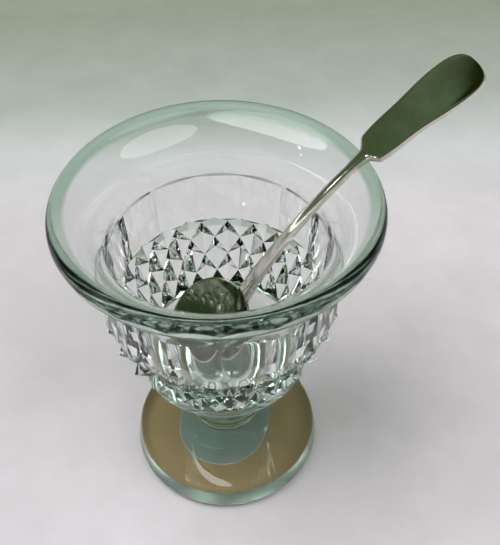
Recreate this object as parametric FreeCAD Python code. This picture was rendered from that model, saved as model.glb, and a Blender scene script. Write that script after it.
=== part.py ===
import FreeCAD, Part
import math
import os

# A small footed tub of clear cut glass with a fiddle pattern silver spoon standing in it.
# Millimetres, +Z up. The origin is on the tub's axis, in the plane of the ring that the foot rests on.
# +X is to the right and +Y to the back, as the tub is usually looked at.

Vector = FreeCAD.Vector

# Foot
foot_radius = 29.4
foot_base_radius = 28.2
foot_base_height = 2.5
foot_edge_height = 8.7
foot_edge_radius = 28.3
foot_edge_round = 1.8
foot_base_round = 1.2
foot_height = 15.0
foot_flare_radius = 14.5
foot_flare_height = 11.6
foot_flare_round = 3.5
hollow_radius = 12.6
hollow_depth = 1.4

# Stem and collar
stem_height = 5.0
stem_radius = 10.4
stem_waist_radius = 9.9
collar_height = 3.4
collar_radius = 12.3
collar_round = 1.4

# Rounded glass between the collar and the diamonds
neck_height = 8.6
neck_radius = 10.6
neck_round = 7.0
underside_radius = 13.5
belly_height = 12.8
belly_round = 14.0
base_ring_radius = 24.8
base_ring_height = 3.0
base_ring_round = 1.8

# Band of cut diamonds: pyramids between crossing grooves
diamond_height = 21.2
diamond_count = 23
diamond_rows = 4
diamond_first_azimuth = 272.0
points_top_radius = 33.0
points_bottom_radius = 25.0
points_bulge = 1.75
groove_top_radius = 31.0
groove_bottom_radius = 23.4

# Upright panels between the diamonds and the flare
panel_height = 18.3
panel_count = 15
panel_radius = 32.0
panel_exit_height = 1.5
panel_first_azimuth = 269.0

# Flare and lip
flare_height = 17.7
flare_wall = 4.0
flare_foot_radius = 33.0
lip_radius = 42.5
lip_thickness = 5.0

# Inside of the tub
floor_thickness = 3.2
cavity_top_radius = 27.6
cavity_floor_radius = 19.6
cavity_round = 12.0

# Heights where the glass pieces and bands meet, stacked up from the ring that the foot rests on
collar_bottom = foot_height + stem_height
collar_top = collar_bottom + collar_height
underside = collar_top + neck_height
base_ring_bottom = underside + belly_height
diamond_bottom = base_ring_bottom + base_ring_height
panel_bottom = diamond_bottom + diamond_height
panel_top = panel_bottom + panel_height
rim_height = panel_top + flare_height
cavity_floor = base_ring_bottom + floor_thickness

# Spoon, along its own X axis from the tip of its bowl to the end of its handle, concave side up
spoon_length = 113.4
spoon_bowl_width = 26.3
spoon_bowl_depth = 6.4
spoon_bowl_wall = 0.9
handle_bite = 1.6
handle_arc_radius = 130.0
handle_end_rise = 16.0
stem_root_width = 5.4
stem_slim_width = 3.6
stem_waist_width = 2.8
fiddle_neck_width = 3.8
fiddle_corner_width = 8.6
fiddle_corner_length = 2.6
fiddle_middle_width = 10.6
fiddle_width = 13.0
fiddle_end_width = 12.2
fiddle_end_length = 3.4
stem_slim_share = 0.18
stem_waist_share = 0.42
fiddle_start_share = 0.59
fiddle_middle_share = 0.76
fiddle_wide_share = 0.9
handle_root_thickness = 3.0
handle_end_thickness = 2.1
drop_length = 8.0
drop_width = 5.0
drop_thickness = 1.2

# How the spoon stands in the tub: its bowl just clear of the floor, its handle of the lip
seat_gap = 0.3
tip_radius = 14.0
tip_azimuth = 192.5
lean_azimuth = 13.9
spoon_roll = 15.0

# Rounds in which the spoon's two gaps are closed in on the seat gap, and halvings of a search
settling_rounds = 8
search_halvings = 60

# Overrun of cutting tools past what they cut
overrun = 5.0


def on_circle(radius, azimuth, height):
    """Point at a radius and azimuth (degrees) about the tub's axis."""
    angle = math.radians(azimuth)
    return Vector(radius * math.cos(angle), radius * math.sin(angle), height)


def section_point(radius, height):
    """Point of a turned section, which is drawn in the XZ plane."""
    return Vector(radius, 0, height)


def rounded_edges(corners):
    """Lines through corners (point, round radius), with an arc at each corner that has a radius."""
    edges = []
    start = corners[0][0]
    for index in range(1, len(corners) - 1):
        corner, radius = corners[index]
        back = (corners[index - 1][0] - corner).normalize()
        ahead = (corners[index + 1][0] - corner).normalize()
        if radius == 0:
            edges.append(Part.LineSegment(start, corner).toShape())
            start = corner
            continue
        half = back.getAngle(ahead) / 2
        reach = radius / math.tan(half)
        enter = corner + back * reach
        leave = corner + ahead * reach
        middle_way = (back + ahead).normalize()
        centre = corner + middle_way * (radius / math.sin(half))
        edges.append(Part.LineSegment(start, enter).toShape())
        edges.append(Part.Arc(enter, centre - middle_way * radius, leave).toShape())
        start = leave
    edges.append(Part.LineSegment(start, corners[-1][0]).toShape())
    return edges


def turned(edges):
    """Solid of revolution about the tub's axis from a closed run of section edges."""
    face = Part.Face(Part.Wire(Part.sortEdges(edges)[0]))
    return face.revolve(Vector(0, 0, 0), Vector(0, 0, 1), 360)


def lip_centre(azimuth):
    """Centre of the lip's round at an azimuth (degrees)."""
    return on_circle(lip_radius - lip_thickness / 2, azimuth, rim_height - lip_thickness / 2)


def flare_arc(foot_reach, side):
    """Arc of the flare's outer face (side 1) or inner face (side -1), which touches the lip's round.

    It starts upright at the panels' top, at foot_reach from the axis.
    """
    half = lip_thickness / 2
    lip = lip_centre(0)
    out = lip.x - foot_reach
    up = lip.z - panel_top
    radius = (out ** 2 + up ** 2 - half ** 2) / (2 * (out + side * half))
    centre = section_point(foot_reach + radius, panel_top)
    along = (lip - centre).normalize()
    half_way = (along + Vector(-1, 0, 0)).normalize()
    return [centre + Vector(-1, 0, 0) * radius, centre + half_way * radius, centre + along * radius]


def blank_section():
    """Section of the bowl's blank above the diamonds: outside up, round the lip, inside down."""
    outside = flare_arc(flare_foot_radius, 1)
    inside = flare_arc(flare_foot_radius - flare_wall, -1)
    crown = lip_centre(0) + Vector(1, 0, 1).normalize() * (lip_thickness / 2)
    edges = [Part.LineSegment(section_point(flare_foot_radius, panel_bottom), outside[0]).toShape()]
    edges.append(Part.Arc(*outside).toShape())
    edges.append(Part.Arc(outside[2], crown, inside[2]).toShape())
    edges.append(Part.Arc(*inside).toShape())
    edges.append(Part.LineSegment(inside[0], section_point(0, panel_top)).toShape())
    edges.append(Part.LineSegment(section_point(0, panel_top), section_point(0, panel_bottom)).toShape())
    edges.append(Part.LineSegment(section_point(0, panel_bottom), edges[0].Vertexes[0].Point).toShape())
    return edges


def polygon_prism(apothem, bottom, top, top_apothem):
    """Upright many-sided solid with flat sides, which lean outwards when its top is wider."""
    wires = []
    for height, reach in ((bottom, apothem), (top, top_apothem)):
        corner_radius = reach / math.cos(math.pi / panel_count)
        ring = []
        for index in range(panel_count + 1):
            azimuth = panel_first_azimuth + 360 / panel_count * (index % panel_count)
            ring.append(on_circle(corner_radius, azimuth, height))
        wires.append(Part.makePolygon(ring))
    return Part.makeLoft(wires, True, True)


def panel_cutter():
    """What the wheel takes off to leave the flat panels, with its slanting way out at the top."""
    exit_bottom = panel_top - panel_exit_height
    waste_bottom = panel_bottom - overrun
    waste = Part.makeCylinder(lip_radius, panel_top - waste_bottom, section_point(0, waste_bottom))
    straight = polygon_prism(panel_radius, panel_bottom - 2 * overrun, exit_bottom, panel_radius)
    exit_radius = flare_foot_radius + panel_exit_height
    leaning = polygon_prism(panel_radius, exit_bottom, panel_top + panel_exit_height,
                            panel_radius + 2 * (exit_radius - panel_radius))
    return waste.cut(straight.fuse(leaning))


def points_radius(share):
    """Radius of the diamonds' points at a share of the band's height, 0 at its top."""
    chord = points_top_radius + (points_bottom_radius - points_top_radius) * share
    return chord + 4 * points_bulge * share * (1 - share)


def groove_radius(share):
    """Radius of the crossings between grooves at a share of the band's height, 0 at its top."""
    return groove_top_radius + (groove_bottom_radius - groove_top_radius) * share


def diamond_band():
    """Closed many-faced solid of the diamond band, over its whole height and in to the axis."""
    pitch = 360 / diamond_count
    row_height = (panel_bottom - diamond_bottom) / diamond_rows

    def crossing(row, place):
        azimuth = diamond_first_azimuth + pitch * (place + (row % 2) / 2)
        return on_circle(groove_radius(row / diamond_rows), azimuth, panel_bottom - row_height * row)

    def point(row, place):
        azimuth = diamond_first_azimuth + pitch * (place + (row % 2 + 1) / 2)
        return on_circle(points_radius(row / diamond_rows), azimuth, panel_bottom - row_height * row)

    faces = []
    caps = {0: [], diamond_rows: []}
    for row in range(diamond_rows + 1):
        for place in range(diamond_count):
            tip = point(row, place)
            left = crossing(row, place)
            right = crossing(row, place + 1)
            middle = place if row % 2 == 0 else place + 1
            if row in caps:
                caps[row] += [left, tip]
            if row > 0:
                above = crossing(row - 1, middle)
                faces += [(tip, left, above), (tip, above, right)]
            if row < diamond_rows:
                below = crossing(row + 1, middle)
                faces += [(tip, below, left), (tip, right, below)]
    skin = [Part.Face(Part.makePolygon([*corners, corners[0]])) for corners in faces]
    for ring in caps.values():
        skin.append(Part.Face(Part.makePolygon([*ring, ring[0]])))
    shell = Part.makeShell(skin)
    shell.sewShape()
    return Part.makeSolid(shell)


def base_solid():
    """Turned glass under the diamonds, which narrows to the neck on the collar."""
    corners = [
        (section_point(0, diamond_bottom), 0),
        (section_point(base_ring_radius, diamond_bottom), 0),
        (section_point(base_ring_radius, base_ring_bottom), base_ring_round),
        (section_point(underside_radius, underside), belly_round),
        (section_point(neck_radius, underside - neck_round / 2), neck_round),
        (section_point(neck_radius, collar_top), 0),
        (section_point(0, collar_top), 0),
        (section_point(0, diamond_bottom), 0),
    ]
    return turned(rounded_edges(corners))


def cavity():
    """Space inside the tub below the flare, with a rounded floor."""
    wall_radius = flare_foot_radius - flare_wall
    corners = [
        (section_point(0, cavity_floor), 0),
        (section_point(cavity_floor_radius, cavity_floor), cavity_round),
        (section_point(cavity_top_radius, panel_bottom), 0),
        (section_point(wall_radius, panel_top), 0),
        (section_point(wall_radius, panel_top + overrun), 0),
        (section_point(0, panel_top + overrun), 0),
        (section_point(0, cavity_floor), 0),
    ]
    return turned(rounded_edges(corners))


def make_bowl():
    """The tub's bowl: panels and diamonds cut outside, a smooth lip, flare and inside."""
    upper = turned(blank_section()).cut(panel_cutter())
    outside = upper.fuse([diamond_band(), base_solid()])
    return outside.cut(cavity())


def make_collar():
    """Rounded ring of glass between the bowl's neck and the stem."""
    corners = [
        (section_point(0, collar_bottom), 0),
        (section_point(collar_radius, collar_bottom), collar_round),
        (section_point(collar_radius, collar_top), collar_round),
        (section_point(0, collar_top), 0),
        (section_point(0, collar_bottom), 0),
    ]
    return turned(rounded_edges(corners))


def make_stem():
    """Short stem, drawn in a little at its middle."""
    waist = section_point(stem_waist_radius, (foot_height + collar_bottom) / 2)
    foot_axis = section_point(0, foot_height)
    foot_side = section_point(stem_radius, foot_height)
    collar_side = section_point(stem_radius, collar_bottom)
    collar_axis = section_point(0, collar_bottom)
    edges = [Part.Arc(foot_side, waist, collar_side).toShape()]
    for start, end in ((collar_side, collar_axis), (collar_axis, foot_axis), (foot_axis, foot_side)):
        edges.append(Part.LineSegment(start, end).toShape())
    return turned(edges)


def make_foot():
    """Thick round foot that flares up to the stem, with a shallow ground hollow underneath."""
    corners = [
        (section_point(0, 0), 0),
        (section_point(foot_base_radius, 0), foot_base_round),
        (section_point(foot_radius, foot_base_height), foot_base_round),
        (section_point(foot_edge_radius, foot_edge_height), foot_edge_round),
        (section_point(foot_flare_radius, foot_flare_height), foot_flare_round),
        (section_point(stem_radius, foot_height), 0),
        (section_point(0, foot_height), 0),
        (section_point(0, 0), 0),
    ]
    disc = turned(rounded_edges(corners))
    ball_radius = (hollow_radius ** 2 + hollow_depth ** 2) / (2 * hollow_depth)
    return disc.cut(Part.makeSphere(ball_radius, section_point(0, hollow_depth - ball_radius)))


def handle_arc():
    """Centre of the arc that the handle's middle line follows, in the spoon's XZ plane."""
    start = Vector(spoon_bowl_width, 0, 0)
    end = Vector(spoon_length, 0, handle_end_rise)
    chord = end - start
    down = chord.cross(Vector(0, -1, 0)).normalize()
    to_centre = math.sqrt(handle_arc_radius ** 2 - (chord.Length / 2) ** 2)
    return start + chord * 0.5 + down * (-to_centre if down.z > 0 else to_centre)


def handle_middle(station):
    """Point on the handle's middle line at a distance along the spoon."""
    centre = handle_arc()
    return Vector(station, 0, centre.z + math.sqrt(handle_arc_radius ** 2 - (station - centre.x) ** 2))


def handle_thickness(station):
    """Thickness of the handle, which thins steadily from the bowl to the end."""
    share = (station - spoon_bowl_width) / (spoon_length - spoon_bowl_width)
    return handle_root_thickness + (handle_end_thickness - handle_root_thickness) * share


def handle_station(share):
    """Distance along the spoon at a share of the handle's length, from the bowl's edge."""
    return spoon_bowl_width + (spoon_length - spoon_bowl_width) * share


def handle_plan():
    """Fiddle outline seen from above, as a flat face."""
    root = spoon_bowl_width - handle_bite
    start = handle_station(fiddle_start_share)
    stem_side = [
        (root, stem_root_width),
        (handle_station(stem_slim_share), stem_slim_width),
        (handle_station(stem_waist_share), stem_waist_width),
        (start, fiddle_neck_width),
    ]
    fiddle_side = [
        (start + fiddle_corner_length, fiddle_corner_width),
        (handle_station(fiddle_middle_share), fiddle_middle_width),
        (handle_station(fiddle_wide_share), fiddle_width),
        (spoon_length - fiddle_end_length, fiddle_end_width),
    ]
    edges = []
    ends = []
    for side in (1, -1):
        for outline in (stem_side, fiddle_side):
            curve = Part.BSplineCurve()
            curve.interpolate([Vector(station, side * width / 2, 0) for station, width in outline])
            edges.append(curve.toShape())
        notch = Vector(start, side * fiddle_neck_width / 2, 0)
        corner = Vector(start + fiddle_corner_length, side * fiddle_corner_width / 2, 0)
        edges.append(Part.LineSegment(notch, corner).toShape())
        ends.append(Vector(spoon_length - fiddle_end_length, side * fiddle_end_width / 2, 0))
    edges.append(Part.Arc(ends[0], Vector(spoon_length, 0, 0), ends[1]).toShape())
    edges.append(Part.LineSegment(Vector(root, stem_root_width / 2, 0),
                                  Vector(root, -stem_root_width / 2, 0)).toShape())
    return Part.Face(Part.Wire(Part.sortEdges(edges)[0]))


def handle_profile():
    """Outline of the handle seen from the side, thinning towards its end, as a flat face."""
    root = spoon_bowl_width - handle_bite
    stations = [root, handle_station(stem_waist_share), handle_station(fiddle_wide_share), spoon_length]
    sides = []
    for side in (1, -1):
        rise = [Vector(0, 0, side * handle_thickness(station) / 2) for station in stations]
        points = [handle_middle(station) + lift for station, lift in zip(stations, rise)]
        curve = Part.BSplineCurve()
        curve.interpolate(points)
        sides.append((curve.toShape(), points[0], points[-1]))
    ends = [Part.LineSegment(sides[0][place], sides[1][place]).toShape() for place in (1, 2)]
    return Part.Face(Part.Wire(Part.sortEdges([sides[0][0], sides[1][0], *ends])[0]))


def make_handle():
    """The stem and fiddle end: its plan cut out of a bar that has its side profile."""
    reach = fiddle_width
    height = spoon_bowl_width
    bar = handle_profile().translated(Vector(0, -reach, 0)).extrude(Vector(0, 2 * reach, 0))
    plan = handle_plan().translated(Vector(0, 0, -height)).extrude(Vector(0, 0, 2 * height))
    return bar.common(plan)


def spoon_ball(thicker):
    """Ball on the spoon bowl's outside surface, or outside it by a thickness, or inside if less than 0."""
    rim = spoon_bowl_width / 2
    radius = (rim ** 2 + spoon_bowl_depth ** 2) / (2 * spoon_bowl_depth)
    return Part.makeSphere(radius + thicker, Vector(rim, 0, radius - spoon_bowl_depth))


def spoon_bowl():
    """The spoon's round bowl, a thin dished shell with a flat rim at zero height."""
    rim = spoon_bowl_width / 2
    keep = Part.makeCylinder(spoon_bowl_width, spoon_bowl_width, Vector(rim, 0, -spoon_bowl_width))
    return spoon_ball(0).cut(spoon_ball(-spoon_bowl_wall)).common(keep)


def drop():
    """The rounded tongue under the bowl where the handle runs out."""
    start = spoon_bowl_width - drop_length
    plan = Part.makeBox(drop_length + handle_bite, drop_width, spoon_bowl_depth,
                        Vector(start, -drop_width / 2, -spoon_bowl_depth))
    nose = Part.makeCylinder(drop_width / 2, spoon_bowl_depth, Vector(start, 0, -spoon_bowl_depth))
    return spoon_ball(drop_thickness).cut(spoon_ball(-spoon_bowl_wall / 2)).common(plan.fuse(nose))


def flat_spoon(handle):
    """The whole spoon in its own frame, one solid, with nothing standing up inside its bowl."""
    return spoon_bowl().fuse([handle.cut(spoon_ball(-spoon_bowl_wall)), drop()]).removeSplitter()


def contact_station(distance):
    """Distance along the spoon of the middle-line point that is so far from the bowl's tip."""
    low = spoon_bowl_width
    high = spoon_length
    for _ in range(search_halvings):
        station = (low + high) / 2
        if handle_middle(station).Length < distance:
            low = station
        else:
            high = station
    return station


def spoon_placement(rise, clearance):
    """Place of the spoon, with its tip at a rise over the floor and its handle's middle clear of the lip."""
    tip = on_circle(tip_radius, tip_azimuth, cavity_floor + rise)
    lip = lip_centre(lean_azimuth)
    along = (lip - tip).normalize()
    upward = along.cross(Vector(0, 0, 1).cross(along)).normalize()
    contact = lip + upward * (lip_thickness / 2 + clearance)
    along = (contact - tip).normalize()
    across = Vector(0, 0, 1).cross(along).normalize()
    upward = along.cross(across)
    roll = math.radians(spoon_roll)
    rolled_across = across * math.cos(roll) + upward * math.sin(roll)
    rolled_upward = along.cross(rolled_across)
    chord = handle_middle(contact_station((contact - tip).Length)).normalize()
    x_axis = along * chord.x - rolled_upward * chord.z
    z_axis = along * chord.z + rolled_upward * chord.x
    return FreeCAD.Placement(tip, FreeCAD.Rotation(x_axis, rolled_across, z_axis, "XYZ"))


def make_spoon():
    """The spoon, let down from well clear until its bowl and its handle each have the seat gap."""
    inside = cavity()
    flare = turned(blank_section()).cut(inside)
    block = Part.makeCylinder(lip_radius, panel_top - collar_bottom, section_point(0, collar_bottom))
    floor = block.cut(inside)
    handle = make_handle()
    dish = spoon_bowl().fuse(drop())
    spoon = flat_spoon(handle)
    rise = spoon_bowl_width / 2
    clearance = fiddle_width
    for _ in range(settling_rounds):
        placement = spoon_placement(rise, clearance)
        for shape in (handle, dish):
            shape.Placement = placement
        rise -= dish.distToShape(floor)[0] - seat_gap
        clearance -= handle.distToShape(flare)[0] - seat_gap
    spoon.Placement = spoon_placement(rise, clearance)
    return spoon


parts = {
    "bowl": make_bowl(),
    "collar": make_collar(),
    "stem": make_stem(),
    "foot": make_foot(),
    "spoon": make_spoon(),
}
os.makedirs("parts", exist_ok=True)
for name, shape in parts.items():
    shape.exportStep(f"parts/{name}.step")
    state = "valid" if shape.isValid() else "NOT VALID"
    box = shape.optimalBoundingBox()
    corners = [round(value, 2) for value in (box.XMin, box.YMin, box.ZMin, box.XMax, box.YMax, box.ZMax)]
    print(name, state, "solids", len(shape.Solids), "volume", round(shape.Volume), "box", corners)
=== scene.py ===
"""Looks of a small footed tub of cut glass with a silver condiment spoon standing in it.

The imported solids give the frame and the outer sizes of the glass. Everything is in metres: +Z up, the
origin on the tub's axis in the plane that the foot rests on, and the viewer on the -Y side.
"""
import logging
import math
from collections.abc import Iterable
from dataclasses import dataclass
from enum import Enum

import bmesh
import bpy
from mathutils import Matrix, Quaternion, Vector


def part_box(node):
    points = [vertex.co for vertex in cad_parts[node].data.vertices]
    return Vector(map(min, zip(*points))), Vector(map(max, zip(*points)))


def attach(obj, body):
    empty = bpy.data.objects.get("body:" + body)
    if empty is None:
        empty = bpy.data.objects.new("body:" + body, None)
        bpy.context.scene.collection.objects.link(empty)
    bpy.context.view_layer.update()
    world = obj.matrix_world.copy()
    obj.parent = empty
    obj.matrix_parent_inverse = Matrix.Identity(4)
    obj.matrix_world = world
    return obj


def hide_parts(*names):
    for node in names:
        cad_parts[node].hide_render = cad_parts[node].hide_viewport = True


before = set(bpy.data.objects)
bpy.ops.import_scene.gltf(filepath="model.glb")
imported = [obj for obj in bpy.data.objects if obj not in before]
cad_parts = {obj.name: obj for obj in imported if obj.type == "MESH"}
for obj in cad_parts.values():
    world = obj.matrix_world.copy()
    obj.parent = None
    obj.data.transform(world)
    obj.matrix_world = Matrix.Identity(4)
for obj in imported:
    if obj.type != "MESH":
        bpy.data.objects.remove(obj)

MM = 0.001
FULL_TURN = 2 * math.pi
WELD = 0.001 * MM  # corners nearer than this are one corner
WHITE = "#ffffff"
PHOTO_LONG_SIDE = 545

Tree = bpy.types.NodeTree
Socket = bpy.types.NodeSocket
Piece = bpy.types.Object
Skin = bmesh.types.BMesh
Vertex = bmesh.types.BMVert

log = logging.getLogger("condiment_tub")


class Slot(Enum):
    """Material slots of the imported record."""

    GLASS = "glass"
    SILVER = "silver"


class Body(Enum):
    """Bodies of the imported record."""

    TUB = "tub"
    SPOON = "spoon"


class Work(Enum):
    """What is done to a piece with another closed shape."""

    CUT = "DIFFERENCE"
    FORGE = "UNION"


class Maths(Enum):
    """What two shader values become: the node, its operation and its output."""

    PRODUCT = ("ShaderNodeVectorMath", "MULTIPLY", "Vector")
    DISTANCE = ("ShaderNodeVectorMath", "DISTANCE", "Value")
    GREATER = ("ShaderNodeMath", "MAXIMUM", "Value")


def linear(hex_colour: str) -> tuple[float, float, float, float]:
    """Turn an sRGB colour into the linear values that shaders take.

    Args:
        hex_colour: the colour as "#rrggbb".

    Returns:
        Linear red, green, blue and an alpha of 1.
    """
    shares = [int(hex_colour[start:start + 2], 16) / 255 for start in (1, 3, 5)]
    lit = [share / 12.92 if share <= 0.04045 else ((share + 0.055) / 1.055) ** 2.4 for share in shares]
    return (*lit, 1.0)


def add_node(tree: Tree, kind: str, settings: dict | None = None,
             inputs: dict | None = None) -> bpy.types.Node:
    """Add a shader node with its settings and links.

    Args:
        tree: node tree that it goes into.
        kind: the node's type, such as "ShaderNodeTexNoise".
        settings: the node's own properties.
        inputs: values for its inputs by name or place, where a socket is linked and a number is set.

    Returns:
        The new node.
    """
    node = tree.nodes.new(kind)
    for name, value in (settings or {}).items():
        setattr(node, name, value)
    for name, value in (inputs or {}).items():
        if isinstance(value, Socket):
            tree.links.new(value, node.inputs[name])
        else:
            node.inputs[name].default_value = value
    return node


def new_material(name: str) -> tuple[bpy.types.Material, Tree, bpy.types.Node]:
    """Make an empty node material.

    Args:
        name: the material's name.

    Returns:
        The material, its node tree and its output node.
    """
    material = bpy.data.materials.new(name)
    material.use_nodes = True
    tree = material.node_tree
    tree.nodes.clear()
    output = add_node(tree, "ShaderNodeOutputMaterial")
    return material, tree, output


def ramp(tree: Tree, factor: Socket, stops: Iterable[tuple[float, str]]) -> Socket:
    """Add a colour ramp over a factor.

    Args:
        tree: node tree that the ramp goes into.
        factor: socket that drives it.
        stops: places from 0 to 1 with their sRGB colours.

    Returns:
        The ramp's colour output.
    """
    node = add_node(tree, "ShaderNodeValToRGB", inputs={"Fac": factor})
    elements = node.color_ramp.elements
    colours = list(stops)
    while len(elements) < len(colours):
        elements.new(1.0)
    for element, (place, colour) in zip(elements, colours):
        element.position = place
        element.color = linear(colour)
    return node.outputs["Color"]


def combine(tree: Tree, work: Maths, first: Socket, second: Socket | Vector | tuple) -> Socket:
    """Make one value of two.

    Args:
        tree: node tree that it goes into.
        work: what is done with them.
        first: the one value.
        second: the other, which may be a fixed point.

    Returns:
        The result.
    """
    kind, operation, output = work.value
    return add_node(tree, kind, {"operation": operation}, {0: first, 1: second}).outputs[output]


def spread(tree: Tree, value: Socket, source: tuple[float, float],
           target: tuple[float, float] = (0.0, 1.0)) -> Socket:
    """Map one range of a value onto another, and hold it past the ends.

    Args:
        tree: node tree that it goes into.
        value: what is mapped.
        source: the value's range.
        target: what the two ends of that range become.

    Returns:
        The mapped value.
    """
    (start, end), (low, high) = source, target
    return add_node(tree, "ShaderNodeMapRange", inputs={
        "Value": value, "From Min": start, "From Max": end,
        "To Min": low, "To Max": high}).outputs["Result"]


def noise(tree: Tree, place: Socket, size: float, detail: float, roughness: float = 0.5) -> Socket:
    """Add noise with clouds of a real size.

    Args:
        tree: node tree that it goes into.
        place: where the noise is read.
        size: size of its clouds.
        detail: number of finer layers on them.
        roughness: how strong each finer layer is.

    Returns:
        The noise, from 0 to 1.
    """
    return add_node(tree, "ShaderNodeTexNoise", inputs={
        "Vector": place, "Scale": 1 / size, "Detail": detail, "Roughness": roughness}).outputs["Fac"]


def finish_mesh(skin: Skin, name: str) -> Piece:
    """Put a skin into the scene as an object at the origin.

    Args:
        skin: the finished skin, which is freed.
        name: the object's name.

    Returns:
        The new object.
    """
    mesh = bpy.data.meshes.new(name)
    skin.to_mesh(mesh)
    skin.free()
    piece = bpy.data.objects.new(name, mesh)
    bpy.context.scene.collection.objects.link(piece)
    return piece


def work_on(piece: Piece, other: Piece, work: Work) -> None:
    """Cut a closed shape out of a closed piece or forge it on, and remove that shape.

    Args:
        piece: what is worked on.
        other: the space that a cutting wheel clears, or the metal that is forged on.
        work: which of the two is done.
    """
    modifier = piece.modifiers.new("work", "BOOLEAN")
    modifier.operation = work.value
    modifier.solver = "EXACT"
    modifier.object = other
    graph = bpy.context.evaluated_depsgraph_get()
    cut = bpy.data.meshes.new_from_object(piece.evaluated_get(graph))
    blank = piece.data
    piece.modifiers.clear()
    piece.data = cut
    bpy.data.meshes.remove(blank)
    bpy.data.objects.remove(other)


def on_circle(radius: float, azimuth: float, height: float) -> Vector:
    """Find the point at a radius and azimuth about the tub's axis.

    Args:
        radius: distance from the axis.
        azimuth: direction from the axis, in degrees.
        height: height above the foot's base.

    Returns:
        The point.
    """
    angle = math.radians(azimuth)
    return Vector((radius * math.cos(angle), radius * math.sin(angle), height))


def next_ring(skin: Skin, ring: list[Vertex]) -> list[Vertex]:
    """Draw a closed ring of edges out to a new ring, which still lies in the same place.

    Args:
        skin: the skin that holds the ring.
        ring: its corners in order.

    Returns:
        The new ring's corners, in the same order.
    """
    order = {vertex: place for place, vertex in enumerate(ring)}
    edges = dict.fromkeys(
        edge for vertex in ring for edge in vertex.link_edges if edge.other_vert(vertex) in order)
    drawn = bmesh.ops.extrude_edge_only(skin, edges=list(edges))
    fresh = {}
    for vertex in (item for item in drawn["geom"] if isinstance(item, Vertex)):
        parent = next(
            edge.other_vert(vertex) for edge in vertex.link_edges if edge.other_vert(vertex) in order)
        fresh[order[parent]] = vertex
    return [fresh[place] for place in range(len(order))]


def curve_through(points: list[tuple[float, float]], place: float) -> float:
    """Read the height of a smooth curve through points.

    Args:
        points: place and height of each point, in order.
        place: where the curve is read.

    Returns:
        The curve's height there.
    """
    index = next((index for index in range(1, len(points) - 1) if place < points[index][0]), len(points) - 1)
    (start, low), (end, high) = points[index - 1], points[index]

    def slope(middle: int) -> float:
        before, after = points[max(middle - 1, 0)], points[min(middle + 1, len(points) - 1)]
        return (after[1] - before[1]) / (after[0] - before[0])

    span = end - start
    share = min(max((place - start) / span, 0.0), 1.0)
    rest = 1 - share
    ends = low * rest ** 2 * (1 + 2 * share) + high * share ** 2 * (3 - 2 * share)
    return ends + span * share * rest * (slope(index - 1) * rest - slope(index) * share)


def set_radius(vertex: Vertex, radius: float) -> None:
    """Move a vertex straight out or in until it stands at a radius from the tub's axis.

    Args:
        vertex: the vertex that is moved.
        radius: its new distance from the axis.
    """
    out = Vector((vertex.co.x, vertex.co.y, 0)).normalized()
    vertex.co.x, vertex.co.y = out.x * radius, out.y * radius


class Section:
    """Half outline of a turned piece in the XZ plane, grown by drawing out its last vertex."""

    step: float = math.radians(4)
    fewest_steps: int = 2

    def __init__(self, radius: float, height: float) -> None:
        """Start the outline.

        Args:
            radius: the first point's distance from the axis.
            height: its height.
        """
        self.outline = bmesh.new()
        self.last = self.outline.verts.new((radius, 0, height))

    def line(self, radius: float, height: float) -> None:
        """Go straight to a point.

        Args:
            radius: the point's distance from the axis.
            height: its height.
        """
        drawn = bmesh.ops.extrude_vert_indiv(self.outline, verts=[self.last])
        self.last = drawn["verts"][0]
        self.last.co = (radius, 0, height)

    def arc(self, centre: Vector, end: Vector) -> None:
        """Go round a centre, the short way, to the direction of an end point.

        Args:
            centre: the arc's centre in the XZ plane.
            end: a point in the direction, seen from the centre, in which the arc ends.
        """
        arm = self.last.co - centre
        aim = end - centre
        angle = arm.angle(aim) * (1 if arm.cross(aim).y > 0 else -1)
        steps = max(self.fewest_steps, math.ceil(abs(angle) / self.step))
        turned = bmesh.ops.spin(self.outline, geom=[self.last], cent=centre, axis=(0, 1, 0), angle=angle,
                                steps=steps, use_duplicate=False)
        self.last = next(item for item in turned["geom_last"] if isinstance(item, Vertex))

    def rounded(self, corners: list[tuple[float, float, float]]) -> None:
        """Go through corners, with an arc at each one that has a round.

        Args:
            corners: radius from the axis, height and round of each corner. The last has no round.
        """
        places = [self.last.co.copy()] + [Vector((radius, 0, height)) for radius, height, _ in corners]
        for index, (radius, height, fillet) in enumerate(corners, 1):
            if fillet == 0:
                self.line(radius, height)
                continue
            corner = places[index]
            back = (places[index - 1] - corner).normalized()
            ahead = (places[index + 1] - corner).normalized()
            half = back.angle(ahead) / 2
            reach = fillet / math.tan(half)
            centre = corner + (back + ahead).normalized() * (fillet / math.sin(half))
            enter = corner + back * reach
            self.line(enter.x, enter.z)
            self.arc(centre, corner + ahead * reach)

    def turned(self, sides: int) -> Skin:
        """Turn the outline about the axis into a closed skin.

        Args:
            sides: number of steps in the full turn.

        Returns:
            The skin, with its normals outwards.
        """
        skin = self.outline
        bmesh.ops.spin(skin, geom=skin.verts[:] + skin.edges[:], cent=(0, 0, 0), axis=(0, 0, 1),
                       angle=FULL_TURN, steps=sides, use_merge=True, use_duplicate=False)
        bmesh.ops.remove_doubles(skin, verts=skin.verts, dist=WELD)
        bmesh.ops.recalc_face_normals(skin, faces=skin.faces)
        return skin


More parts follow.
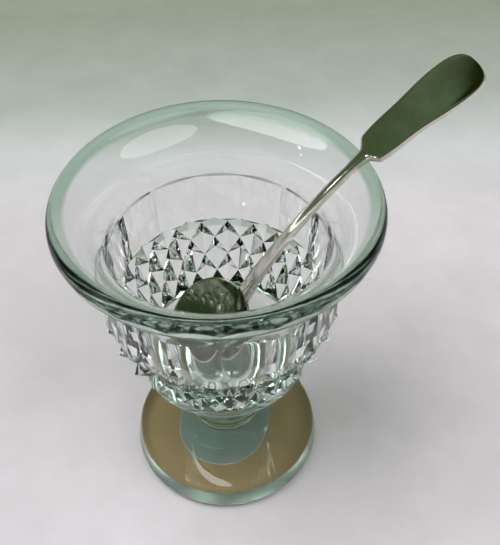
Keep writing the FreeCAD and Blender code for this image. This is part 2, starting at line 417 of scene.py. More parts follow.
class Waste:
    """Ring of waste glass around the tub, grown ring by ring from its inner bottom edge."""

    def __init__(self, sides: int, first_azimuth: float, height: float) -> None:
        """Start with one ring of corners.

        Args:
            sides: number of corners of the inner face.
            first_azimuth: where the first corner stands, in degrees.
            height: height of the ring.
        """
        self.skin = bmesh.new()
        made = bmesh.ops.create_circle(self.skin, segments=sides, radius=1.0)
        bmesh.ops.translate(self.skin, verts=made["verts"], vec=(0, 0, height))
        bmesh.ops.rotate(self.skin, verts=made["verts"], cent=(0, 0, 0),
                         matrix=Matrix.Rotation(math.radians(first_azimuth - 90), 3, "Z"))
        self.ring = list(made["verts"])

    def grow(self, height: float, radii: list[float]) -> list[Vertex]:
        """Draw the ring's edges out to a new ring.

        Args:
            height: height of the new ring.
            radii: radius of each corner in turn, repeated as often as the ring needs.

        Returns:
            The new ring's corners, in the same order.
        """
        self.ring = next_ring(self.skin, self.ring)
        for place, vertex in enumerate(self.ring):
            vertex.co.z = height
            set_radius(vertex, radii[place % len(radii)])
        return self.ring

    def closed(self, name: str) -> Piece:
        """Weld the last ring to the first.

        Args:
            name: the object's name.

        Returns:
            The waste as an object.
        """
        bmesh.ops.remove_doubles(self.skin, verts=self.skin.verts, dist=WELD)
        bmesh.ops.recalc_face_normals(self.skin, faces=self.skin.faces)
        return finish_mesh(self.skin, name)


@dataclass(frozen=True)
class CutTableGlass:
    """Old soda-lime table glass, blown, then wheel cut and polished.

    It is clear face on. Its thick edges go a dark grey green, because iron in the sand takes red light,
    and its fire finished faces are a little wavy, which makes the highlights wander. Wear has dulled the
    lip and, more so, the ring that the glass stands on. The lip's round gets a painted darker green, which
    is painted shade. The ring that the foot stands on gets a painted brown tint, painted shade for the
    shaded paper seen down through the foot, and about the hollow a lighter tint, a painted patch of light.
    """

    ior: float = 1.52
    polish: float = 0.0
    tint: str = "#9dcab4"
    depth_density: float = 17.0
    # painted shade: a brown tint on the ring the foot stands on, for the shaded paper seen through the foot
    foot_shade_tint: str = "#dec28c"
    foot_tint_depth: float = 0.6 * MM
    foot_tint_full: float = 0.3  # share of its depth in which the painted brown shade has its full colour
    # painted light: a lighter tint in a round patch about the hollow, inside the painted brown shade
    foot_light_centre: tuple[float, float, float] = (-1.5 * MM, -1.5 * MM, 0.0)
    foot_light_radius: float = 13.0 * MM
    foot_light_tint: str = "#c0d8cb"
    untinted: float = 0.5  # untinted glass, between the painted brown shade at 0 and the painted patch of light at 1
    base_wear: float = 0.2
    # painted shade: a darker green tint on the lip's round
    lip_shade_tint: str = "#bfd9c8"
    lip_depth: float = 2.8 * MM
    lip_full: float = 0.9  # the same for the lip
    lip_wear: float = 0.14
    wave_length: float = 14.0 * MM
    wave_height: float = 0.05 * MM

    def material(self, lip: Vector) -> bpy.types.Material:
        """Build the material.

        Args:
            lip: centre of the lip's round at azimuth 0.

        Returns:
            The glass.
        """
        material, tree, output = new_material("cut_table_glass")
        place = add_node(tree, "ShaderNodeTexCoord").outputs["Object"]
        waves = noise(tree, place, self.wave_length, detail=1.0, roughness=0.4)
        bump = add_node(tree, "ShaderNodeBump", inputs={
            "Height": waves, "Strength": 1.0, "Distance": self.wave_height})
        foot_tint_mask = self.foot_tint_mask(tree, place)
        away = self.from_lip(tree, place, lip)
        # Painted shade and light on the foot: brown on the ring it stands on, white above it, lighter about
        # the hollow.
        foot_tone = ramp(tree, foot_tint_mask, [(0.0, self.foot_shade_tint), (self.untinted, WHITE), (1.0, self.foot_light_tint)])
        # Painted shade: the lip's round is tinted a darker green.
        edge = ramp(tree, away, [(0.0, self.lip_shade_tint), (1.0, WHITE)])
        painted_tone = combine(tree, Maths.PRODUCT, foot_tone, edge)
        lip_wear = spread(tree, away, (0.0, 1.0), (self.lip_wear, self.polish))
        base_wear = spread(tree, foot_tint_mask, (0.0, self.untinted), (self.base_wear, self.polish))
        wear = combine(tree, Maths.GREATER, lip_wear, base_wear)
        glass = add_node(tree, "ShaderNodeBsdfPrincipled", inputs={
            "Base Color": painted_tone, "Roughness": wear, "IOR": self.ior, "Transmission Weight": 1.0,
            "Normal": bump.outputs["Normal"]})
        depth = add_node(tree, "ShaderNodeVolumeAbsorption", inputs={
            "Color": linear(self.tint), "Density": self.depth_density})
        tree.links.new(glass.outputs["BSDF"], output.inputs["Surface"])
        tree.links.new(depth.outputs["Volume"], output.inputs["Volume"])
        return material

    def foot_tint_mask(self, tree: Tree, place: Socket) -> Socket:
        """Tell where the foot gets its painted brown shade and its painted patch of light.

        Args:
            tree: the glass's node tree.
            place: object coordinates.

        Returns:
            0 on the ring that the foot stands on, with painted brown shade, 0.5 on untinted glass and 1 in
            the painted patch of light about the hollow.
        """
        height = add_node(tree, "ShaderNodeSeparateXYZ", inputs={"Vector": place}).outputs["Z"]
        above = spread(tree, height, (self.foot_tint_full * self.foot_tint_depth, self.foot_tint_depth), (0.0, self.untinted))
        # Painted light: the round patch about the hollow where the brown gives way to a lighter tint.
        away = combine(tree, Maths.DISTANCE, place, self.foot_light_centre)
        edge = self.foot_light_radius
        lit_patch = spread(tree, away, (edge, edge + self.foot_tint_depth), (1.0, 0.0))
        return combine(tree, Maths.GREATER, above, lit_patch)

    def from_lip(self, tree: Tree, place: Socket, lip: Vector) -> Socket:
        """Tell how far a place is out of the lip's round, which is duller than the rest and gets a painted
        darker green shade.

        Args:
            tree: the glass's node tree.
            place: object coordinates.
            lip: centre of the lip's round at azimuth 0.

        Returns:
            0 on the lip and 1 away from it.
        """
        height = add_node(tree, "ShaderNodeSeparateXYZ", inputs={"Vector": place}).outputs["Z"]
        axis = add_node(tree, "ShaderNodeCombineXYZ", inputs={"Z": height}).outputs["Vector"]
        radius = combine(tree, Maths.DISTANCE, place, axis)
        section = add_node(tree, "ShaderNodeCombineXYZ", inputs={"X": radius, "Z": height})
        away = combine(tree, Maths.DISTANCE, section.outputs["Vector"], lip)
        return spread(tree, away, (self.lip_full * self.lip_depth, self.lip_depth))


@dataclass(frozen=True)
class WornSilver:
    """Sterling silver, forged, hand finished and polished many times over.

    It is a soft mirror with a faintly warm cast. Fine scratches mostly run along the handle, and thin brown
    tarnish lies in clouds. The inside of the bowl gets a painted darker green grey, which is painted shade.
    """

    bright: str = "#dedbd2"
    tarnished: str = "#c2b8a4"
    tarnish_span: tuple[float, float] = (0.42, 0.75)  # part of the clouds over which it sets in
    cloud_size: float = 9.0 * MM
    polish: float = 0.1
    wear: float = 0.2
    wear_span: tuple[float, float] = (0.35, 0.75)
    scratch_spacing: float = 0.35 * MM
    scratch_stretch: float = 0.06  # spacing across a scratch as a share of the spacing along it
    scratch_depth: float = 0.01 * MM
    scratch_strength: float = 0.25
    # painted shade: a darker green grey inside the bowl
    dish_shade: str = "#a0b09c"
    dish_shade_edge: float = 0.3 * MM

    def material(self, along: Quaternion, ball: Vector, reach: float) -> bpy.types.Material:
        """Build the material.

        Args:
            along: turn that takes the X axis to the handle's direction.
            ball: centre of the ball that the spoon's bowl is dished on.
            reach: radius of the dished side, which gets the painted shade.

        Returns:
            The silver.
        """
        material, tree, output = new_material("worn_sterling_silver")
        place = add_node(tree, "ShaderNodeTexCoord").outputs["Object"]
        turned = add_node(tree, "ShaderNodeMapping", {"vector_type": "TEXTURE"}, {
            "Vector": place, "Rotation": along.to_euler()})
        drawn = add_node(tree, "ShaderNodeMapping", inputs={
            "Vector": turned.outputs["Vector"], "Scale": (self.scratch_stretch, 1.0, 1.0)})
        scratches = noise(tree, drawn.outputs["Vector"], self.scratch_spacing, detail=3.0)
        bump = add_node(tree, "ShaderNodeBump", inputs={
            "Height": scratches, "Strength": self.scratch_strength, "Distance": self.scratch_depth})
        clouds = noise(tree, place, self.cloud_size, detail=4.0, roughness=0.6)
        colour = ramp(tree, clouds, zip(self.tarnish_span, (self.bright, self.tarnished)))
        # Painted shade: darker inside the bowl.
        away = combine(tree, Maths.DISTANCE, place, ball)
        untinted = spread(tree, away, (reach, reach + self.dish_shade_edge))
        dark = ramp(tree, untinted, [(0.0, self.dish_shade), (1.0, WHITE)])
        tone = combine(tree, Maths.PRODUCT, colour, dark)
        shine = spread(tree, clouds, self.wear_span, (self.polish, self.wear))
        silver = add_node(tree, "ShaderNodeBsdfPrincipled", inputs={
            "Base Color": tone, "Metallic": 1.0, "Roughness": shine, "Normal": bump.outputs["Normal"]})
        tree.links.new(silver.outputs["BSDF"], output.inputs["Surface"])
        return material


@dataclass(frozen=True)
class PaperGround:
    """Large sheet of uncoated paper, which scatters light evenly and shows faint fibre clouds.

    Its tones, by the distance behind the tub, go from a pinkish white to a greenish grey and back to pale.
    The darkening is painted shade, for the light falling off behind the tub.
    """

    # painted shade: the ground's tone darkens behind the tub, as the light falls off
    tones: tuple[tuple[float, str], ...] = (
        (110.0 * MM, "#cac4ca"), (148.0 * MM, "#c2c3c6"), (187.0 * MM, "#a5aaa5"), (270.0 * MM, "#8f978a"),
        (360.0 * MM, "#8f978a"), (800.0 * MM, "#cfd0ce"))
    fibre_shade: str = "#f4f4f4"
    fibre_span: tuple[float, float] = (0.35, 0.7)  # part of the clouds over which the shade clears
    cloud_size: float = 25.0 * MM
    roughness: float = 0.9
    specular_level: float = 0.2

    def material(self) -> bpy.types.Material:
        """Build the material.

        Returns:
            The paper.
        """
        material, tree, output = new_material("uncoated_paper")
        place = add_node(tree, "ShaderNodeTexCoord").outputs["Object"]
        clouds = noise(tree, place, self.cloud_size, detail=8.0, roughness=0.65)
        fibres = ramp(tree, clouds, zip(self.fibre_span, (self.fibre_shade, WHITE)))
        back = add_node(tree, "ShaderNodeSeparateXYZ", inputs={"Vector": place}).outputs["Y"]
        near, far = self.tones[0][0], self.tones[-1][0]
        # Painted shade by the distance behind the tub.
        tone = ramp(tree, spread(tree, back, (near, far)), [
            ((distance - near) / (far - near), colour) for distance, colour in self.tones])
        paper = add_node(tree, "ShaderNodeBsdfPrincipled", inputs={
            "Base Color": combine(tree, Maths.PRODUCT, tone, fibres), "Roughness": self.roughness,
            "Specular IOR Level": self.specular_level})
        tree.links.new(paper.outputs["BSDF"], output.inputs["Surface"])
        return material


@dataclass
class GlassTub:
    """The glass: foot, stem, collar, bowl, flare and lip, one closed skin with its cuts."""

    sides: int = 240
    hollow_radius: float = 12.6 * MM
    hollow_depth: float = 1.4 * MM
    foot_base_radius: float = 28.2 * MM
    foot_corner_radius: float = 29.4 * MM
    foot_base_height: float = 2.5 * MM
    foot_edge_radius: float = 28.3 * MM
    foot_edge_height: float = 8.7 * MM
    foot_edge_round: float = 1.82 * MM
    foot_flare_radius: float = 14.5 * MM
    foot_flare_height: float = 11.6 * MM
    foot_flare_round: float = 3.5 * MM
    stem_radius: float = 10.4 * MM
    stem_waist_radius: float = 9.9 * MM
    stem_round: float = 3.0 * MM
    collar_radius: float = 12.3 * MM
    neck_radius: float = 10.6 * MM
    neck_round: float = 7.0 * MM
    underside: float = 32.0 * MM
    underside_radius: float = 13.5 * MM
    belly_round: float = 14.0 * MM
    base_ring_radius: float = 24.8 * MM
    base_ring_bottom: float = 44.8 * MM
    diamond_bottom: float = 47.8 * MM
    diamond_count: int = 23
    diamond_rows: int = 4
    diamond_first_azimuth: float = 272.0
    points_top_radius: float = 33.0 * MM
    points_bottom_radius: float = 25.0 * MM
    points_bulge: float = 1.75 * MM
    groove_top_radius: float = 31.0 * MM
    groove_bottom_radius: float = 23.4 * MM
    blank_radius: float = 34.5 * MM
    panel_bottom: float = 69.0 * MM
    panel_top: float = 87.3 * MM
    panel_exit_height: float = 1.5 * MM
    panel_count: int = 15
    panel_radius: float = 32.0 * MM
    panel_first_azimuth: float = 269.0
    flare_foot_radius: float = 33.0 * MM
    flare_wall: float = 4.0 * MM
    lip_thickness: float = 5.0 * MM
    cavity_floor: float = 48.0 * MM
    cavity_top_radius: float = 27.6 * MM
    cavity_floor_radius: float = 19.6 * MM
    cavity_round: float = 12.0 * MM
    waste_radius: float = 60.0 * MM
    overcut: float = 0.15 * MM
    small_round: float = 0.5 * MM
    corner_round: float = 1.3 * MM
    sharp_angle: float = 12.0  # degrees from which an edge is sharp

    def __post_init__(self) -> None:
        """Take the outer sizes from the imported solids."""
        self.foot_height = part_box("foot")[1].z
        self.collar_bottom, self.collar_top = (corner.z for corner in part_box("collar"))
        self.rim_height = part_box("bowl")[1].z
        self.lip_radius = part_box("bowl")[1].x

    def lip_centre(self, azimuth: float = 0.0) -> Vector:
        """Find the centre of the lip's round.

        Args:
            azimuth: direction from the tub's axis, in degrees.

        Returns:
            The centre there.
        """
        half = self.lip_thickness / 2
        return on_circle(self.lip_radius - half, azimuth, self.rim_height - half)

    def flare_centre(self, foot_radius: float, side: int) -> Vector:
        """Find the centre of one of the flare's two arcs, which start upright at the panels' top.

        Args:
            foot_radius: radius from the tub's axis at which the arc starts.
            side: 1 for the outer face and -1 for the inner face.

        Returns:
            The centre, from which the arc touches the lip's round.
        """
        half = self.lip_thickness / 2
        lip = self.lip_centre()
        out, up = lip.x - foot_radius, lip.z - self.panel_top
        radius = (out ** 2 + up ** 2 - half ** 2) / (2 * (out + side * half))
        return Vector((foot_radius + radius, 0, self.panel_top))

    def blank(self) -> Skin:
        """Turn the uncut blank, from the hollow under the foot over the lip to the cavity's floor.

        Returns:
            The blank's skin.
        """
        ball = (self.hollow_radius ** 2 + self.hollow_depth ** 2) / (2 * self.hollow_depth)
        wall_radius = self.flare_foot_radius - self.flare_wall
        section = Section(0, self.hollow_depth)
        section.arc(Vector((0, 0, self.hollow_depth - ball)), Vector((self.hollow_radius, 0, 0)))
        section.rounded([
            (self.foot_base_radius, 0, self.corner_round),
            (self.foot_corner_radius, self.foot_base_height, self.corner_round),
            (self.foot_edge_radius, self.foot_edge_height, self.foot_edge_round),
            (self.foot_flare_radius, self.foot_flare_height, self.foot_flare_round),
            (self.stem_radius, self.foot_height, self.small_round),
            (self.stem_waist_radius, (self.foot_height + self.collar_bottom) / 2, self.stem_round),
            (self.stem_radius, self.collar_bottom, self.small_round),
            (self.collar_radius, self.collar_bottom, self.corner_round),
            (self.collar_radius, self.collar_top, self.corner_round),
            (self.neck_radius, self.collar_top, self.small_round),
            (self.neck_radius, self.underside - self.neck_round / 2, self.neck_round),
            (self.underside_radius, self.underside, self.belly_round),
            (self.base_ring_radius, self.base_ring_bottom, self.corner_round),
            (self.base_ring_radius, self.diamond_bottom, 0),
            (self.blank_radius, self.diamond_bottom, 0),
            (self.blank_radius, (self.panel_bottom + self.panel_top) / 2, 0),
            (self.flare_foot_radius, (self.panel_bottom + self.panel_top) / 2, 0),
            (self.flare_foot_radius, self.panel_top, 0),
        ])
        lip = self.lip_centre()
        outer = self.flare_centre(self.flare_foot_radius, 1)
        inner = self.flare_centre(wall_radius, -1)
        section.arc(outer, lip)
        section.arc(lip, lip + Vector((self.lip_thickness, 0, self.lip_thickness)))
        section.arc(lip, lip + (lip - inner))
        section.arc(inner, Vector((wall_radius, 0, self.panel_top)))
        section.line(self.cavity_top_radius, self.panel_bottom)
        section.rounded([
            (self.cavity_floor_radius, self.cavity_floor, self.cavity_round),
            (0, self.cavity_floor, 0),
        ])
        return section.turned(self.sides)

    def panel_waste(self) -> Piece:
        """Make the waste outside the flat panels, with their slanting way out at the top.

        Returns:
            The waste, which is cut away.
        """
        to_corner = 1 / math.cos(math.pi / self.panel_count)
        exit_bottom = self.panel_top - self.panel_exit_height
        exit_radius = self.flare_foot_radius + self.panel_exit_height
        waste = Waste(self.panel_count, self.panel_first_azimuth, self.panel_bottom)
        for vertex in waste.ring:
            set_radius(vertex, self.panel_radius * to_corner)
        waste.grow(exit_bottom, [self.panel_radius * to_corner])
        waste.grow(self.panel_top, [exit_radius * to_corner])
        waste.grow(self.panel_top, [self.waste_radius])
        waste.grow(self.panel_bottom, [self.waste_radius])
        waste.grow(self.panel_bottom, [self.panel_radius * to_corner])
        return waste.closed("panel_waste")

    def diamond_waste(self) -> Piece:
        """Make the waste outside the band of diamonds: crossing grooves that leave the points standing.

        Returns:
            The waste, which is cut away.
        """
        row_height = (self.panel_bottom - self.diamond_bottom) / self.diamond_rows
        bottom = self.diamond_bottom - self.overcut
        waste = Waste(2 * self.diamond_count, self.diamond_first_azimuth, bottom)
        crossings = set()

        def radii(row: int) -> list[float]:
            share = row / self.diamond_rows
            chord = self.points_top_radius + (self.points_bottom_radius - self.points_top_radius) * share
            point = chord + 4 * self.points_bulge * share * (1 - share)
            crossing = self.groove_top_radius + (self.groove_bottom_radius - self.groove_top_radius) * share
            return [crossing, point] if row % 2 == 0 else [point, crossing]

        for vertex, radius in zip(waste.ring, radii(self.diamond_rows) * self.diamond_count):
            set_radius(vertex, radius)
        for row in range(self.diamond_rows, -1, -1):
            ring = waste.grow(self.panel_bottom - row_height * row, radii(row))
            crossings.update(ring[row % 2::2])
        waste.grow(self.panel_bottom + self.overcut, radii(0))
        facets = [face for face in waste.skin.faces if len(crossings.intersection(face.verts)) == 2]
        for face in facets:
            start, end = (vertex for vertex in face.verts if vertex in crossings)
            if not any(edge.other_vert(start) == end for edge in start.link_edges):
                bmesh.utils.face_split(face, start, end)
        waste.grow(self.panel_bottom + self.overcut, [self.waste_radius])
        waste.grow(bottom, [self.waste_radius])
        waste.grow(bottom, radii(self.diamond_rows))
        return waste.closed("diamond_waste")

    def build(self) -> Piece:
        """Turn the blank, cut it and dress it.

        Returns:
            The glass.
        """
        piece = finish_mesh(self.blank(), "cut_glass_tub")
        work_on(piece, self.panel_waste(), Work.CUT)
        work_on(piece, self.diamond_waste(), Work.CUT)
        piece.data.shade_smooth()
        piece.data.set_sharp_from_angle(angle=math.radians(self.sharp_angle))
        piece.data.materials.clear()
        piece.data.materials.append(CutTableGlass().material(self.lip_centre()))
        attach(piece, Body.TUB.value)
        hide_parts("bowl", "collar", "stem", "foot")
        return piece


@dataclass
class FiddleSpoon:
    """The silver spoon: a round dished bowl and a fiddle pattern handle, forged in one."""

    length: float = 113.4 * MM
    bowl_width: float = 26.3 * MM
    bowl_depth: float = 6.4 * MM
    bowl_wall: float = 0.9 * MM
    arc_radius: float = 130.0 * MM
    end_rise: float = 16.0 * MM
    root_width: float = 5.4 * MM
    slim_width: float = 3.6 * MM
    waist_width: float = 2.8 * MM
    neck_width: float = 3.8 * MM
    corner_width: float = 8.6 * MM
    corner_length: float = 2.6 * MM
    middle_width: float = 10.6 * MM
    fiddle_width: float = 13.0 * MM
    end_power: float = 3.0
    end_inset: float = 0.3 * MM
    slim_share: float = 0.18
    waist_share: float = 0.42
    start_share: float = 0.59
    middle_share: float = 0.76
    wide_share: float = 0.9
    root_thickness: float = 3.0 * MM
    end_thickness: float = 2.1 * MM
    drop_length: float = 8.0 * MM
    drop_width: float = 5.0 * MM
    drop_thickness: float = 1.2 * MM
    tip_radius: float = 14.0 * MM
    tip_azimuth: float = 192.5
    tip_rise: float = 1.12 * MM
    lean_azimuth: float = 13.9
    lip_clearance: float = 2.4 * MM
    roll: float = 15.0  # degrees about its length
    bite: float = 1.6 * MM
    stem_squareness: float = 0.75
    fiddle_squareness: float = 0.28
    dish_shade_skin: float = 0.9  # where the painted shade inside the bowl ends, as a share of the wall from its outside
    station_step: float = 1.0 * MM
    shoulder_steps: int = 6
    end_turn: int = 5  # degrees between the sections of the rounded end
    end_reach: float = 0.9999  # share of the rounded end at which the last section still has a width
    ring_points: int = 24
    dish_sides: int = 120
    drop_sides: int = 48
    sharp_angle: float = 32.0
    halvings: int = 40

    def station(self, share: float) -> float:
        """Measure along the spoon.

        Args:
            share: share of the handle's length, from the bowl's edge.

        Returns:
            The distance from the tip of the bowl.
        """
        return self.bowl_width + (self.length - self.bowl_width) * share

    def stations(self) -> list[float]:
        """List where the handle gets a section.

        Returns:
            Distances along the spoon, close together at the shoulders and the end.
        """
        root, wide = self.bowl_width - self.bite, self.station(self.wide_share)
        count = round((wide - root) / self.station_step)
        even = [root + (wide - root) * place / count for place in range(count + 1)]
        start = self.station(self.start_share)
        steps = self.shoulder_steps
        shoulder = [start + self.corner_length * step / steps for step in range(steps + 1)]
        reach = self.end_reach * (self.length - self.end_inset - wide)
        turns = range(self.end_turn, 90 + self.end_turn, self.end_turn)
        last = [wide + reach * math.sin(math.radians(turn)) for turn in turns]
        return sorted(even + shoulder + last)

    def width(self, station: float) -> float:
        """Tell the handle's width, seen from above.

        Args:
            station: distance along the spoon.

        Returns:
            The width there.
        """
        start, middle = self.station(self.start_share), self.station(self.middle_share)
        wide = self.station(self.wide_share)
        if station > wide:
            share = (station - wide) / (self.length - self.end_inset - wide)
            return self.fiddle_width * (1 - share ** self.end_power) ** (1 / self.end_power)
        return curve_through([
            (self.bowl_width - self.bite, self.root_width),
            (self.station(self.slim_share), self.slim_width),
            (self.station(self.waist_share), self.waist_width),
            (start, self.neck_width),
            (start + self.corner_length, self.corner_width),
            (middle, self.middle_width),
            (wide, self.fiddle_width),
            (2 * wide - middle, self.middle_width),
        ], station)

    def thickness(self, station: float) -> float:
        """Tell the handle's thickness, which falls steadily from the bowl to the end.

        Args:
            station: distance along the spoon.

        Returns:
            The thickness there.
        """
        share = (station - self.bowl_width) / (self.length - self.bowl_width)
        return self.root_thickness + (self.end_thickness - self.root_thickness) * share

    def squareness(self, station: float) -> float:
        """Tell the power that shapes the section.

        Args:
            station: distance along the spoon.

        Returns:
            Near 1 on the round stem and far below 1 on the flat fiddle.
        """
        start = self.station(self.start_share)
        share = min(max((station - start) / self.corner_length, 0.0), 1.0)
        return self.stem_squareness + (self.fiddle_squareness - self.stem_squareness) * share

    def ball_radius(self) -> float:
        """Work out the radius of the ball that the outside of the bowl lies on."""
        rim = self.bowl_width / 2
        return (rim ** 2 + self.bowl_depth ** 2) / (2 * self.bowl_depth)

    def dish(self) -> Piece:
        """Turn the round dished bowl, with its rim rounded over."""
        rim = Vector((self.bowl_width / 2, 0, 0))
        centre = Vector((0, 0, self.ball_radius() - self.bowl_depth))
        out = (rim - centre).normalized()
        edge = rim - out * (self.bowl_wall / 2)
        section = Section(0, -self.bowl_depth)
        section.arc(centre, rim)
        section.arc(edge, edge + out.cross(Vector((0, 1, 0))))
        section.arc(edge, centre)
        section.arc(centre, Vector((0, 0, 0)))
        skin = section.turned(self.dish_sides)
        bmesh.ops.translate(skin, verts=skin.verts, vec=rim)
        return finish_mesh(skin, "silver_spoon")

    def handle(self) -> Piece:
        """Draw the stem and fiddle end out section by section, with softened edges."""
        skin = bmesh.new()
        ring = list(bmesh.ops.create_circle(skin, segments=self.ring_points, radius=1.0)["verts"])
        round_places = [corner.co.copy() for corner in ring]
        bmesh.ops.contextual_create(skin, geom=ring)
        for count, station in enumerate(self.stations()):
            if count > 0:
                ring = next_ring(skin, ring)
            middle = self.handle_middle(station)
            half_width, half_thickness = self.width(station) / 2, self.thickness(station) / 2
            squareness = self.squareness(station)
            for corner, place in zip(ring, round_places):
                across = math.copysign(abs(place.x) ** squareness, place.x)
                upward = math.copysign(abs(place.y) ** squareness, place.y)
                corner.co = middle + Vector((0, across * half_width, upward * half_thickness))
        bmesh.ops.contextual_create(skin, geom=ring)
        bmesh.ops.recalc_face_normals(skin, faces=skin.faces)
        return finish_mesh(skin, "handle")

    def drop(self) -> Piece:
        """Make the rounded tongue under the bowl where the handle runs out."""
        reach = (self.drop_length + self.bite) / 2
        rim, ball = self.bowl_width / 2, self.ball_radius()
        lean = math.asin((rim - self.drop_length / 2) / ball)
        skin = bmesh.new()
        bmesh.ops.create_uvsphere(
            skin, u_segments=self.drop_sides, v_segments=self.drop_sides // 2, radius=1.0)
        bmesh.ops.scale(skin, verts=skin.verts, vec=(reach, self.drop_width / 2, self.drop_thickness))
        bmesh.ops.translate(skin, verts=skin.verts, vec=(0, 0, -ball))
        bmesh.ops.rotate(skin, verts=skin.verts, cent=(0, 0, 0), matrix=Matrix.Rotation(-lean, 3, "Y"))
        bmesh.ops.translate(skin, verts=skin.verts, vec=(rim, 0, ball - self.bowl_depth))
        return finish_mesh(skin, "drop")

    def hollow(self) -> Piece:
        """Make the ball that keeps the space inside the bowl clear of the handle."""
        skin = bmesh.new()
        bmesh.ops.create_uvsphere(skin, u_segments=self.dish_sides, v_segments=self.dish_sides // 2,
                                  radius=self.ball_radius() - self.bowl_wall)
        bmesh.ops.translate(skin, verts=skin.verts, vec=(
            self.bowl_width / 2, 0, self.ball_radius() - self.bowl_depth))
        return finish_mesh(skin, "hollow")

    def build(self, tub: GlassTub) -> Piece:
        """Forge the spoon, stand it in the tub and dress it.

        Args:
            tub: the tub that it stands in.

        Returns:
            The spoon.
        """
        piece = self.dish()
        handle = self.handle()
        work_on(handle, self.hollow(), Work.CUT)
        work_on(piece, handle, Work.FORGE)
        work_on(piece, self.drop(), Work.FORGE)
        place = self.place(tub)
        piece.data.transform(place)
        piece.data.shade_smooth()
        piece.data.set_sharp_from_angle(angle=math.radians(self.sharp_angle))
        piece.data.materials.clear()
        ball = place @ Vector((self.bowl_width / 2, 0, self.ball_radius() - self.bowl_depth))
        # The inside of the bowl gets painted shade.
        dished = self.ball_radius() - self.dish_shade_skin * self.bowl_wall
        piece.data.materials.append(WornSilver().material(place.to_quaternion(), ball, dished))
        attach(piece, Body.SPOON.value)
        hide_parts("spoon")
        return piece

    def handle_middle(self, station: float) -> Vector:
        """Find a point on the handle's middle line, which is an arc.

        Args:
            station: distance along the spoon.

        Returns:
            The point, with the tip of the bowl as origin.
        """
        start = Vector((self.bowl_width, 0, 0))
        chord = Vector((self.length, 0, self.end_rise)) - start
        down = Vector((chord.z, 0, -chord.x)).normalized()
        centre = start + chord / 2 + down * math.sqrt(self.arc_radius ** 2 - (chord.length / 2) ** 2)
        rise = math.sqrt(self.arc_radius ** 2 - (station - centre.x) ** 2)
        return Vector((station, 0, centre.z + rise))

    def place(self, tub: GlassTub) -> Matrix:
        """Stand the spoon with its bowl on the cavity's floor and its handle over the lip.

        Args:
            tub: the tub that it stands in.

        Returns:
            The move from the spoon's own axes to the tub's.
        """
        tip = on_circle(self.tip_radius, self.tip_azimuth, tub.cavity_floor + self.tip_rise)
        lip = tub.lip_centre(self.lean_azimuth)
        axis = Vector((0, 0, 1))
        along = (lip - tip).normalized()
        upward = along.cross(axis.cross(along)).normalized()
        contact = lip + upward * (tub.lip_thickness / 2 + self.lip_clearance)
        along = (contact - tip).normalized()
        across = axis.cross(along).normalized()
        upward = along.cross(across)
        roll = math.radians(self.roll)
        across = across * math.cos(roll) + upward * math.sin(roll)
        upward = along.cross(across)
        chord = self.contact_point((contact - tip).length).normalized()
        x_axis = along * chord.x - upward * chord.z
        z_axis = along * chord.z + upward * chord.x
        turn = Matrix((x_axis, across, z_axis)).transposed()
        return Matrix.Translation(tip) @ turn.to_4x4()

    def contact_point(self, distance: float) -> Vector:
        """Find where the handle's middle line is a distance from the tip of the bowl.

        Args:
            distance: the distance in a straight line.

        Returns:
            The point on the middle line.
        """
        low, high = self.bowl_width, self.length
        for _ in range(self.halvings):
            station = (low + high) / 2
            if self.handle_middle(station).length < distance:
                low = station
            else:
                high = station
        return self.handle_middle(station)


@dataclass(frozen=True)
class Lamp:
    """Round soft lamp that looks at the tub: where it hangs, its width and its power in watts."""

    name: str
    direction: tuple[float, float, float]
    distance: float
    width: float
    power: float
    mirrored: bool  # whether polished faces show the lamp itself


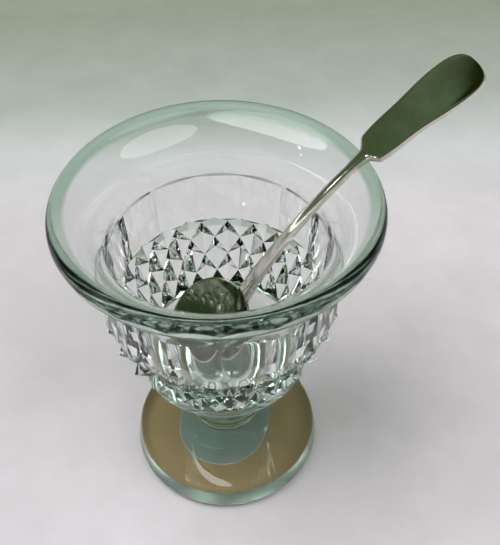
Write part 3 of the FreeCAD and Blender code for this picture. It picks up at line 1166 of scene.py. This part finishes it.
@dataclass
class Setting:
    """The pale ground, the soft lamps and the camera, whose place was solved from the photo."""

    ground_radius: float = 3.0
    ground_sides: int = 96
    ground_gap: float = 0.05 * MM
    room: tuple[tuple[float, str], ...] = (
        (0.0, "#dcdadb"), (0.12, "#b4b4b4"), (0.32, "#56604c"), (0.6, "#465a3a"), (0.82, "#576b51"),
        (0.89, "#576b51"), (0.925, "#1c2409"))  # tones by the rise of the line of sight
    lamps: tuple[Lamp, ...] = (
        Lamp("left_daylight", (-0.36, -0.05, 0.93), 1.6, 1.3, 27.0, mirrored=False),
        Lamp("right_daylight", (0.5, -0.35, 0.79), 1.6, 1.3, 14.0, mirrored=False),
        Lamp("low_pane", (-0.83, -0.2, 0.52), 1.3, 0.05, 0.5, mirrored=True))
    aim_height: float = 60.0 * MM
    clip_start: float = 10.0 * MM
    camera_place: tuple[float, float, float] = (0.0, -0.1576, 0.24663)
    camera_right: tuple[float, float, float] = (0.9983, -0.0584, -0.0065)
    camera_up: tuple[float, float, float] = (0.0472, 0.7303, 0.6814)
    focal_pixels: float = 850.0
    sensor: float = 36.0

    def ground(self) -> Piece:
        """Lay the ground just under the foot."""
        sheet = bmesh.new()
        bmesh.ops.create_circle(sheet, cap_ends=True, segments=self.ground_sides, radius=self.ground_radius)
        bmesh.ops.translate(sheet, verts=sheet.verts, vec=(0, 0, -self.ground_gap))
        piece = finish_mesh(sheet, "paper_ground")
        piece.data.materials.append(PaperGround().material())
        return piece

    def world(self) -> None:
        """Make the room: pale round about, olive above and dark overhead, as silver and glass show it."""
        world = bpy.data.worlds.new("studio")
        bpy.context.scene.world = world
        world.use_nodes = True
        tree = world.node_tree
        tree.nodes.clear()
        direction = add_node(tree, "ShaderNodeTexCoord").outputs["Generated"]
        height = add_node(tree, "ShaderNodeSeparateXYZ", inputs={"Vector": direction}).outputs["Z"]
        room = ramp(tree, height, self.room)
        sky = add_node(tree, "ShaderNodeBackground", inputs={"Color": room, "Strength": 1.0})
        output = add_node(tree, "ShaderNodeOutputWorld")
        tree.links.new(sky.outputs["Background"], output.inputs["Surface"])

    def hang(self, lamp: Lamp) -> None:
        """Hang a lamp.

        Args:
            lamp: what it is like and where it hangs.
        """
        data = bpy.data.lights.new(lamp.name, "AREA")
        data.shape = "DISK"
        data.size = lamp.width
        data.energy = lamp.power
        piece = bpy.data.objects.new(lamp.name, data)
        piece.visible_glossy = lamp.mirrored
        aim = Vector(lamp.direction).normalized()
        piece.location = aim * lamp.distance + Vector((0, 0, self.aim_height))
        piece.rotation_mode = "QUATERNION"
        piece.rotation_quaternion = aim.to_track_quat("Z", "Y")
        bpy.context.scene.collection.objects.link(piece)

    def camera(self) -> None:
        """Set the camera at the photograph's place and angle."""
        data = bpy.data.cameras.new("camera")
        data.sensor_width = self.sensor
        data.lens = self.focal_pixels * self.sensor / PHOTO_LONG_SIDE
        data.clip_start = self.clip_start
        camera = bpy.data.objects.new("camera", data)
        right, up = Vector(self.camera_right), Vector(self.camera_up)
        turn = Matrix((right, up, right.cross(up))).transposed()
        camera.matrix_world = Matrix.Translation(self.camera_place) @ turn.to_4x4()
        bpy.context.scene.collection.objects.link(camera)
        bpy.context.scene.camera = camera

    def build(self) -> None:
        """Make the whole setting."""
        self.ground()
        self.world()
        for lamp in self.lamps:
            self.hang(lamp)
        self.camera()
        bpy.context.scene.view_settings.view_transform = "Standard"


def main() -> None:
    """Build the tub, the spoon and their setting, and report each piece."""
    logging.basicConfig(level=logging.INFO, format="%(name)s: %(message)s")
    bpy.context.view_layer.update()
    tub = GlassTub()
    glass = tub.build()
    log.info("glass: %d faces", len(glass.data.polygons))
    spoon = FiddleSpoon().build(tub)
    log.info("spoon: %d faces", len(spoon.data.polygons))
    Setting().build()


if __name__ == "__main__":
    main()
